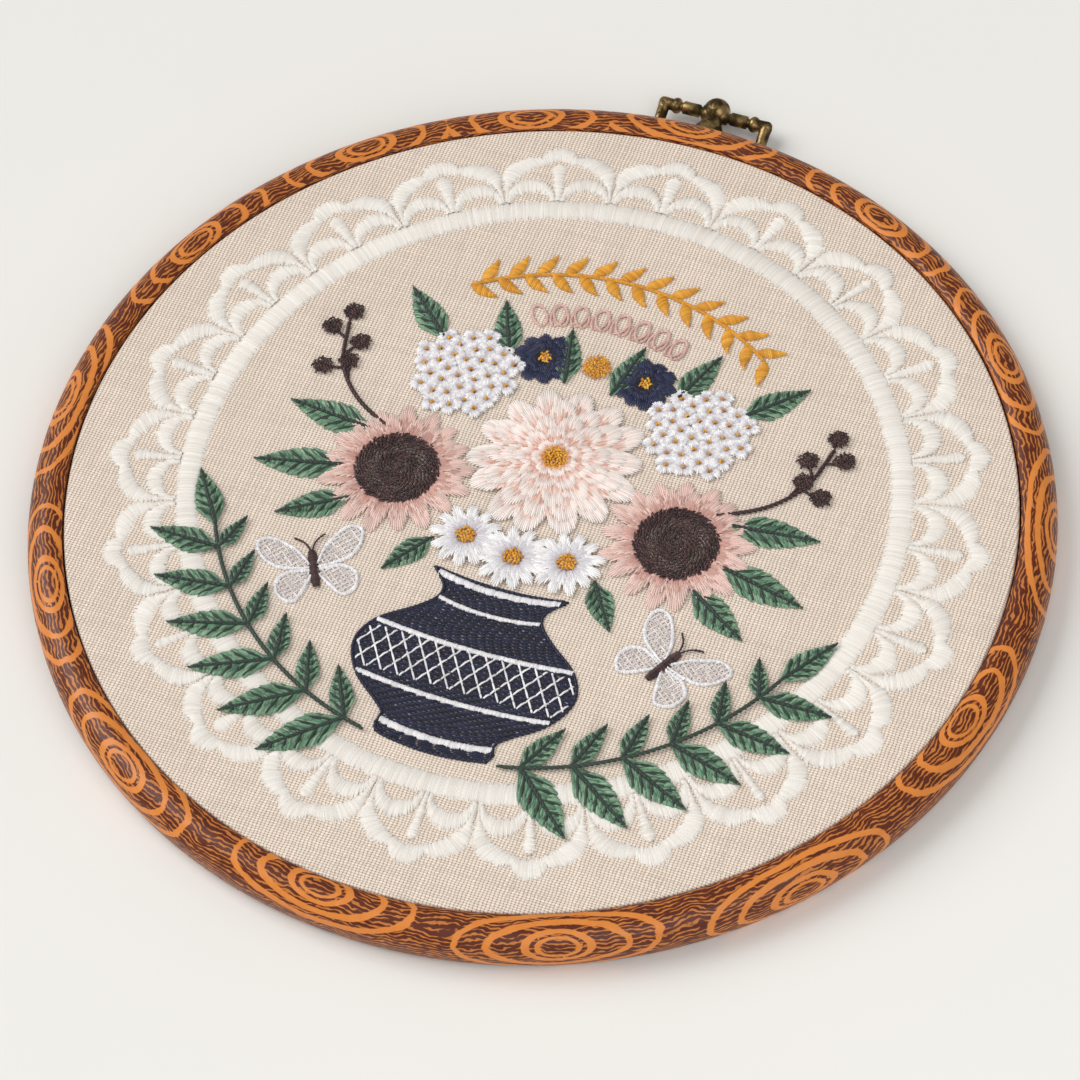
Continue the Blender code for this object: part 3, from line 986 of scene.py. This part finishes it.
def posy():
    work = {name: Threads() for name in SHADES}
    navy, brown, blush, white, green, veins, gold, rose = work.values()
    for side in (-1, 1):
        wreath_spray(green, veins, side)
        twig(brown, side)
        for x, y, facing, length, width in POSY_LEAVES:
            leaf(green, veins, (side * x, y), side * radians(facing), length, width, base=0.1)
        butterfly(white, brown, (side * 36.5, -32.0), side * radians(28))
    vase(navy, white)
    for side in (-1, 1):
        hydrangea(white, gold, np.array([side * 25.0, 22.5]), 12.0)
        rosette(navy, (side * 10.8, 30.6), CORNFLOWER_RINGS, turn=0.3 * side, dark=0.2)
        knots(gold, (side * 10.8, 30.6), 1.3, 12)
        head = (side * 29.5, -4.6)
        rosette(rose, head, SUNNY_RINGS, turn=0.2 * side, tip=0.45, streaks=2)
        seed_head(brown, head, 8.6, 420, 0.5)
        daisy(white, gold, (side * 10.6, -15.6), 0.1 * side)
    rosette(blush, (0.0, 7.0), DAHLIA_RINGS, tip=0.3, streaks=4)
    knots(gold, (0.0, 7.0), 2.8, 60, base=1.45)
    daisy(white, gold, (0, -17.6), 0.2)
    knots(gold, (0.0, 31.6), 2.8, 66, base=0.3)
    arc_sprig(gold, 54, radians(36), 25, 6.2)
    looped_arc(rose, 43.6, radians(20), 15)
    sewn = []
    for name, threads in work.items():
        material = thread_material(f"{name}_thread", SHADES[name], **FINISHES.get(name, {}))
        sewn.append((threads, threads.piece(f"stitches_{name}", material)))
    return sewn


BOBBIN_COLOURS = ((0, (206, 200, 192)), (1, (246, 243, 238)))
BOBBIN_HALF = 0.26


def bobbin(sewn):
    """The white thread that locks each stitch, as it lies under the linen: a flat strip under
    every other stitch that hangs a little in its middle."""
    rows = np.concatenate([row for threads, _ in sewn for row in threads.rows])[::2]
    share = np.array([0.0, 0.5, 1.0])
    hang = 0.06 + 0.2 * (1 - np.abs(2 * share - 1)) * uniform(0.6, 1.0, (len(rows), 1))
    z = (FACE_Z - LINEN_THICKNESS - hang)[..., None]
    strip = np.array([-BOBBIN_HALF, BOBBIN_HALF])
    white = thread_material("bobbin_thread", BOBBIN_COLOURS, spread=0.1)
    return thread_piece("bobbin_threads", white, rows, share, strip, z, strip)


# --- linen, rings and hanger

LINEN_COLUMNS = 240
# The round of the linen's fold over the inner ring.
LINEN_FOLD = 0.7
# Small hills and dips near the stitched border: their height, where they are highest and how far
# they spread from there, and how many waves make them, from PUCKER_FROM around the hoop on.
PUCKER_HEIGHT = 0.018
PUCKER_R = 80
PUCKER_SPREAD = 16
PUCKER_WAVES = 12
PUCKER_FROM = 9
# The whole face lies so much lower than the solid's.
FACE_DROP = 0.05


def linen():
    """The linen: its face, slightly drawn by the stitching, its fold over the inner ring, its hem
    between the rings and its back."""
    angle = whole_turn(LINEN_COLUMNS)
    radii = np.concatenate([[0.0], np.linspace(3, CLOTH_R - LINEN_FOLD, 34)])
    size, shift, _ = rng.normal(0, 1, (3, PUCKER_WAVES))
    waves = sum(
        size[k] * np.sin((k + PUCKER_FROM) * angle + 3 * shift[k]) for k in range(PUCKER_WAVES)
    )

    def puckered(radius):
        near = exp(-(((radius - PUCKER_R) / PUCKER_SPREAD) ** 2))
        return PUCKER_HEIGHT * waves * near - FACE_DROP

    fold_r, fold_z = CLOTH_R - LINEN_FOLD, FACE_Z - LINEN_FOLD
    under_r, under_z = CLOTH_R - LINEN_THICKNESS, FACE_Z - LINEN_THICKNESS
    rows = [(radius, FACE_Z + puckered(radius)) for radius in radii]
    for turn in np.radians([25, 55, 90]):
        rows.append((fold_r + LINEN_FOLD * sin(turn), fold_z + LINEN_FOLD * cos(turn)))
    rows += [(CLOTH_R, z) for z in np.linspace(fold_z - 1.2, HEM_Z, 5)]
    rows += [(under_r, z) for z in np.linspace(HEM_Z, under_z - 0.4, 5)]
    rows += [(under_r - 0.4, under_z)]
    rows += [(radius, under_z + puckered(radius)) for radius in radii[::-1] if radius < under_r - 1]
    radius = np.array([row[0] for row in rows])[:, None]
    z = np.stack([np.broadcast_to(row[1], LINEN_COLUMNS) for row in rows])
    return merge_doubles(round_piece("linen", radius, z, LINEN_COLUMNS, linen_material()))


RING_COLUMNS = 480
FRONT_POINTS = 36
SIDE_POINTS = 14


def ring_section():
    """The outer ring's outline from its inner lip over the crest to its back, as (radius, z)."""
    half_depth, half_width = RING_DEPTH / 2, RING_OUTER_R - RING_CREST_R
    lip = acos((RING_INNER_R - RING_CREST_R) / half_width)
    front = np.linspace(lip, 0, FRONT_POINTS)
    side = np.linspace(0, -pi / 2, SIDE_POINTS)[1:]
    side_r = RING_BACK_R + (RING_OUTER_R - RING_BACK_R) * np.cos(side)
    r = np.concatenate([RING_CREST_R + half_width * np.cos(front), side_r])
    z = half_depth + half_depth * np.sin(np.concatenate([front, side]))
    back = np.linspace(RING_BACK_R, RING_INNER_R, 6)[1:]
    wall = np.linspace(0, z[0], 7)[1:-1]
    r = np.concatenate([r, back, np.full(len(wall), RING_INNER_R)])
    z = np.concatenate([z, np.zeros(len(back)), wall])
    return r, z


def woodgrain_ring():
    r, z = ring_section()
    rows = r[:, None], z[:, None]
    ring = round_piece("woodgrain_ring", *rows, RING_COLUMNS, woodgrain_material(), wrap_rows=True)
    step = np.hypot(np.diff(np.append(r, r[0])), np.diff(np.append(z, z[0])))
    across = np.concatenate([[0], np.cumsum(step)])
    print_width = across[FRONT_POINTS + SIDE_POINTS - 2]
    row, column = grid_corners(len(r), RING_COLUMNS)
    along, v = column / RING_COLUMNS * 360, across[row]
    eye_along, eye_across = np.array(EYES).T
    from_eye = np.mod(along.mean(axis=1)[:, None] - eye_along + 180, 360) - 180
    nearest = np.abs(from_eye).argmin(axis=1)[:, None]
    from_eye = np.mod(along - eye_along[nearest] + 180, 360) - 180
    dv = v - eye_across[nearest] * print_width
    per_degree = pi * RING_CREST_R / 180
    for name, u, v in (("Print", along * per_degree, v), ("Eye", from_eye * per_degree, dv)):
        layer = ring.data.uv_layers.new(name=name)
        layer.uv.foreach_set("vector", pair(u, v).astype(np.float32).ravel())
    return ring


# The hanger, as its solid has it: a turned bar on two sloping legs, with a bulb on a flared foot.
BAR_Y, BAR_Z = 108.5, 3.6
LEG_X, LEG_END_Y, LEG_END_Z = 11.3, 101.9, 1.3
BULB_Y, BULB_R = 109.5, 2.9
FOOT_TOP_Y = 108.3
SHELL_SIDES = 40
# The bar's turned shape, from its middle to its end: distance along the bar and radius.
BAR_PROFILE = (
    (0, 1.6), (2.75, 1.6), (2.9, 1.1), (3.3, 1.1), (3.45, 1.36), (3.6, 1.42), (6.9, 1.42),
    (7.1, 1.34), (7.25, 1), (7.6, 1), (7.75, 1.3), (8.1, 1.62), (8.6, 1.75), (9.1, 1.62),
    (9.5, 1.34), (9.7, 1.3), (11.6, 1.36), (12.1, 1.2), (12.45, 0.8), (12.6, 0),
)
# A leg's, from above the bar down.
LEG_PROFILE = (
    (-1.2, 0), (-1.05, 0.7), (-0.5, 1.2), (0.2, 1.36), (1.2, 1.24), (5.6, 1.16), (6.7, 1.2),
    (6.9, 0),
)
# The flared foot, from top to base: distance down, half width, half depth.
FOOT_PROFILE = (
    (0, 0, 0), (0.05, 1.6, 1.6), (0.9, 1.78, 1.74), (2.2, 2.2, 1.9), (3.2, 2.62, 2.04),
    (4, 3.05, 2.18), (4.8, 3.4, 2.34), (5.6, 3.62, 2.48), (6.5, 3.82, 2.58), (6.9, 3.9, 2.6),
    (7, 3.8, 2.5), (7, 0, 0),
)


def turned_shell(profile, start, way):
    """A closed shape about a line from start along way: distance, then its radius, or its half
    width and half depth."""
    along, half_width, *half_depth = (np.array(column, float)[:, None] for column in zip(*profile))
    half_depth = half_depth[0] if half_depth else half_width
    way = np.asarray(way, float) / norm(way)
    level = np.array([0.0, 1.0, 0.0]) if abs(way[0]) > 0.9 else np.array([1.0, 0.0, 0.0])
    turn = whole_turn(SHELL_SIDES)
    across, up = half_width * np.cos(turn), half_depth * np.sin(turn)
    points = np.asarray(start, float) + along[..., None] * way + across[..., None] * level
    points = points + up[..., None] * np.cross(way, level)
    return points.reshape(-1, 3), grid_quads(len(profile), SHELL_SIDES, wrap_columns=True)


def hanger():
    """The cast hanger, with rounder turnings than its solid has."""
    bar = [(-x, r) for x, r in reversed(BAR_PROFILE[1:])] + list(BAR_PROFILE)
    swing = np.linspace(-pi / 2, pi / 2, 21)
    bulb = [(BULB_R * sin(a), BULB_R * cos(a)) for a in swing]
    leg_way = (0, LEG_END_Y - BAR_Y, LEG_END_Z - BAR_Z)
    shells = [
        turned_shell(bar, (0, BAR_Y, BAR_Z), (1, 0, 0)),
        turned_shell(bulb, (0, BULB_Y, BAR_Z), (0, -1, 0)),
        turned_shell(FOOT_PROFILE, (0, FOOT_TOP_Y, BAR_Z), (0, -1, 0)),
        turned_shell(LEG_PROFILE, (-LEG_X, BAR_Y, BAR_Z), leg_way),
        turned_shell(LEG_PROFILE, (LEG_X, BAR_Y, BAR_Z), leg_way),
    ]
    first = np.cumsum([0] + [len(points) for points, _ in shells])
    points = np.vstack([points for points, _ in shells])
    quads = np.vstack([quads + low for (_, quads), low in zip(shells, first)])
    return merge_doubles(new_piece("hanger_bar", on_hoop(*points.T), quads, brass_material()))


def build_scene():
    linen_piece = linen()
    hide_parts("cloth")
    ring = woodgrain_ring()
    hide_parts("outer_ring")
    brass = hanger()
    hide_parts("hanger")
    sewn = lace_border() + posy()
    stitches = [piece for _, piece in sewn] + [bobbin(sewn)]
    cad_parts["inner_ring"].data.materials[0] = brown_plastic_material()


# --- floor, light and camera

CAMERA_AZIMUTH = radians(23.6)
CAMERA_ELEVATION = radians(55.2)
CAMERA_ROLL = radians(-4.4)
CAMERA_DISTANCE = 8.75 * RING_OUTER_R
CAMERA_RIGHT = -0.0013 * RING_OUTER_R
CAMERA_UP = -0.058 * RING_OUTER_R
CAMERA_LENS = 150.0
CAMERA_TARGET_Z = 4.6

# The soft lights: how far to the picture's right, up along the floor and above it, in metres,
# then size, power and colour.
WARM_WHITE = (1, 0.99, 0.975)
LIGHTS = {
    "key": ((-4.1, 1.5, 4.1), 4.4, 224.0, WARM_WHITE),
    "fill": ((0.4, -1, 1), 1.4, 9.4, (1, 0.995, 0.985)),
}
WORLD_STRENGTH = 0.36
FLOOR_HALF_METRES = 3.0


def add_camera():
    az, el = CAMERA_AZIMUTH, CAMERA_ELEVATION
    back = Vector((sin(az) * cos(el), -cos(az) * cos(el), sin(el)))
    level = Vector((0, 0, 1)).cross(back).normalized()
    rise = back.cross(level)
    right = cos(CAMERA_ROLL) * level + sin(CAMERA_ROLL) * rise
    up = -sin(CAMERA_ROLL) * level + cos(CAMERA_ROLL) * rise
    target = Vector((HOOP_CENTRE[0], HOOP_CENTRE[1], CAMERA_TARGET_Z))
    place = target + back * CAMERA_DISTANCE + right * CAMERA_RIGHT + up * CAMERA_UP
    camera = add_object("camera", bpy.data.cameras.new("camera"))
    camera.data.lens = CAMERA_LENS
    camera.data.sensor_width = 36.0
    camera.data.clip_end = 20.0
    turn = Matrix((right, up, back)).transposed().to_4x4()
    camera.matrix_world = Matrix.Translation(place * MM) @ turn
    bpy.context.scene.camera = camera
    return right, up


def add_light(name, place, size, power, colour):
    """A square soft light at a place in metres, aimed at the hoop."""
    lamp = bpy.data.lights.new(name, "AREA")
    lamp.shape = "SQUARE"
    lamp.size = size
    lamp.energy = power
    lamp.color = colour
    light = add_object(name, lamp)
    light.location = place
    light.rotation_mode = "QUATERNION"
    light.rotation_quaternion = place.to_track_quat("Z", "Y")


def add_stage():
    mesh = bpy.data.meshes.new("floor")
    half = FLOOR_HALF_METRES
    corners = [(-half, -half, 0), (half, -half, 0), (half, half, 0), (-half, half, 0)]
    mesh.from_pydata(corners, [], [(0, 1, 2, 3)])
    mesh.materials.append(floor_material())
    add_object("floor", mesh)
    world = bpy.data.worlds.new("studio")
    world.use_nodes = True
    background = world.node_tree.nodes["Background"]
    background.inputs["Color"].default_value = (*WARM_WHITE, 1.0)
    background.inputs["Strength"].default_value = WORLD_STRENGTH
    bpy.context.scene.world = world
    flat_right, flat_up = (Vector((way.x, way.y, 0)).normalized() for way in add_camera())
    for name, ((right, up, height), *lamp) in LIGHTS.items():
        place = flat_right * right + flat_up * up + Vector((0, 0, height))
        add_light(name, place, *lamp)
    bpy.context.scene.view_settings.view_transform = "Standard"


build_scene()
add_stage()
